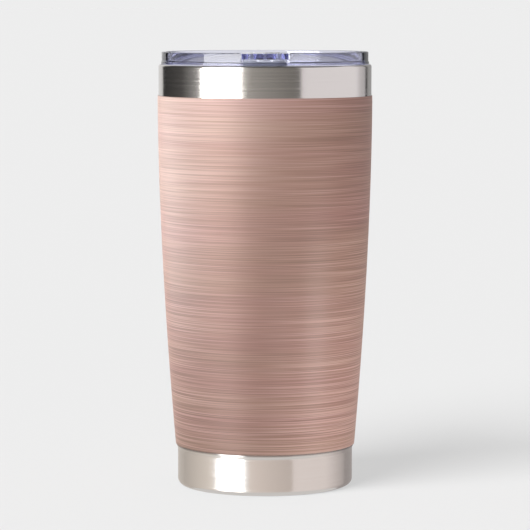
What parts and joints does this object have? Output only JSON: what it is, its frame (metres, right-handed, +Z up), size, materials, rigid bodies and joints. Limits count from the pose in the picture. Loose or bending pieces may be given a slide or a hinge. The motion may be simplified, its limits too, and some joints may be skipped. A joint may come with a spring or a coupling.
{
  "type": "insulated tumbler with lid",
  "caption": "Tapered double-walled steel tumbler with a metallic wrap and a clear press-in lid whose hinged tab flips up to open a sealed spout.",
  "frame": {"origin": "centre of the foot, on the plane it stands on", "axes": "+Z up along the body's axis, the tab's nose and the spout towards -Y, the wrap's seam at +Y"},
  "size_m": [0.0888, 0.0888, 0.1801],
  "materials": {
    "brushed_steel": "brushed and polished stainless",
    "wrap": "printed brushed rose-gold film, satin",
    "clear_plastic": "clear moulded plastic with a faint blue-violet tint",
    "silicone": "translucent silicone, matt",
    "pin_steel": "drawn stainless",
    "copper": "bright copper foil",
    "getter_metal": "sintered matt pill",
    "solder_glass": "dark solder glass"
  },
  "bodies": {
    "flask": {"outer_shell": "brushed_steel", "inner_liner": "brushed_steel", "liner_bottom": "brushed_steel", "vacuum_bottom": "brushed_steel", "seal_bead": "solder_glass", "getter": "getter_metal", "getter_clip": "pin_steel", "copper_foil": "copper", "base_cover": "brushed_steel", "graphic_wrap": "wrap"},
    "gasket": {"lid_gasket": "silicone"},
    "lid": {"lid_body": "clear_plastic", "hinge_pin": "pin_steel"},
    "tab": {"flip_tab": "clear_plastic", "spout_seal": "silicone", "vent_plug": "silicone"}
  },
  "joints": [
    {"name": "lid_lift", "type": "slide", "parent": "flask", "child": "gasket", "axis": [0, 0, 1], "range_m": [0, 0.08]},
    {"name": "lid_turn", "type": "hinge", "parent": "gasket", "child": "lid", "pos_m": [0, 0, 0.168], "axis": [0, 0, 1], "continuous": true},
    {"name": "tab_flip", "type": "hinge", "parent": "lid", "child": "tab", "pos_m": [0, -0.004, 0.177], "axis": [-1, 0, 0], "range_deg": [0, 175]}
  ]
}
